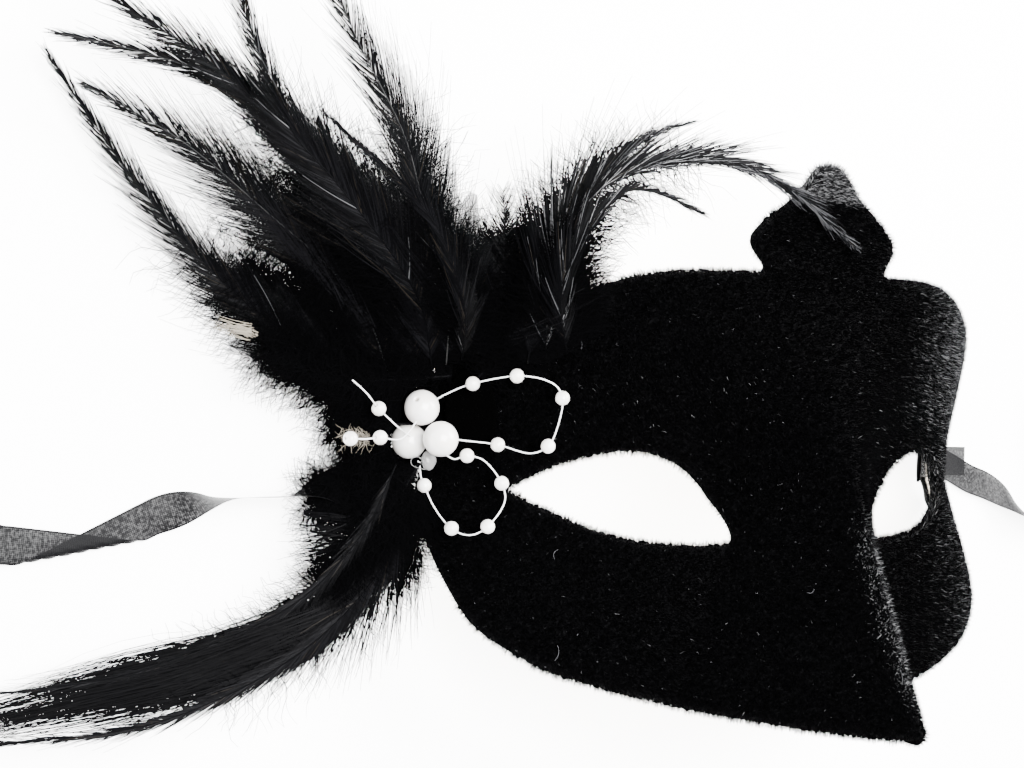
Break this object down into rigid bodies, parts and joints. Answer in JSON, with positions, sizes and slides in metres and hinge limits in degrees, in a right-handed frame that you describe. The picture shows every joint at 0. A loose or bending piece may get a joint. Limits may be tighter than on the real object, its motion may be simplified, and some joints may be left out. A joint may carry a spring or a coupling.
{
  "type": "venetian half mask",
  "caption": "Black velvet half mask with a spade crest, cat-eye holes, a feather plume and pearl spray on one temple, and two ribbon ties.",
  "frame": {"origin": "midway between the two temple rims, on the surface that the mask lies on, level with the resting stretch of the rims", "axes": "+X to the wearer's left, +Y up the face towards the crest, +Z out of the face, away from the surface"},
  "size_m": [0.464, 0.172, 0.0813],
  "materials": {
    "shell": "smooth cream moulded plastic, matt",
    "velvet": "black flocked velvet with a short upright pile",
    "felt": "black felt",
    "feather": "dyed black hackle feather, silky along the barbs",
    "down": "dyed black marabou down, matt and soft",
    "pearl": "ivory white imitation pearl, pearly gloss",
    "line": "white covered stiff line",
    "glue": "set clear hot glue",
    "ribbon": "black sheer organza ribbon with woven edges"
  },
  "bodies": {
    "mask": {"mask_shell": "shell", "velvet_cover": "velvet", "feather_pad": "felt", "plume_feather_1": "feather", "plume_feather_2": "feather", "plume_feather_3": "feather", "plume_feather_4": "feather", "plume_feather_5": "feather", "plume_feather_6": "feather", "plume_feather_7": "feather", "plume_feather_8": "feather", "side_feather_1": "feather", "side_feather_2": "feather", "side_feather_3": "feather", "tail_feather_1": "feather", "tail_feather_2": "feather", "tail_feather_3": "feather", "marabou_tuft_upper": "down", "marabou_tuft_side": "down", "marabou_tuft_lower": "down", "pearl_top": "pearl", "pearl_outer": "pearl", "pearl_inner": "pearl", "small_pearl_01": "pearl", "small_pearl_02": "pearl", "small_pearl_03": "pearl", "small_pearl_04": "pearl", "small_pearl_05": "pearl", "small_pearl_06": "pearl", "small_pearl_07": "pearl", "small_pearl_08": "pearl", "small_pearl_09": "pearl", "small_pearl_10": "pearl", "small_pearl_11": "pearl", "small_pearl_12": "pearl", "small_pearl_13": "pearl", "beaded_line_upper_loop": "line", "beaded_line_lower_loop": "line", "beaded_line_upper_tail": "line", "beaded_line_lower_tail": "line", "glue_drop": "glue", "ribbon_end_left": "ribbon", "ribbon_patch_left": "felt", "ribbon_end_right": "ribbon", "ribbon_patch_right": "felt"},
    "ribbon_right": {"ribbon_tie_right": "ribbon", "ribbon_roll_right": "ribbon"},
    "ribbon_left": {"ribbon_tie_left": "ribbon", "ribbon_roll_left": "ribbon"}
  },
  "joints": [
    {"name": "ribbon_right_swing", "type": "hinge", "parent": "mask", "child": "ribbon_right", "pos_m": [-0.08975, 0.004, 0.0006], "axis": [0, -1, 0], "range_deg": [0, 95]},
    {"name": "ribbon_left_swing", "type": "hinge", "parent": "mask", "child": "ribbon_left", "pos_m": [0.08975, 0.004, 0.0006], "axis": [0, 1, 0], "range_deg": [0, 95]}
  ]
}
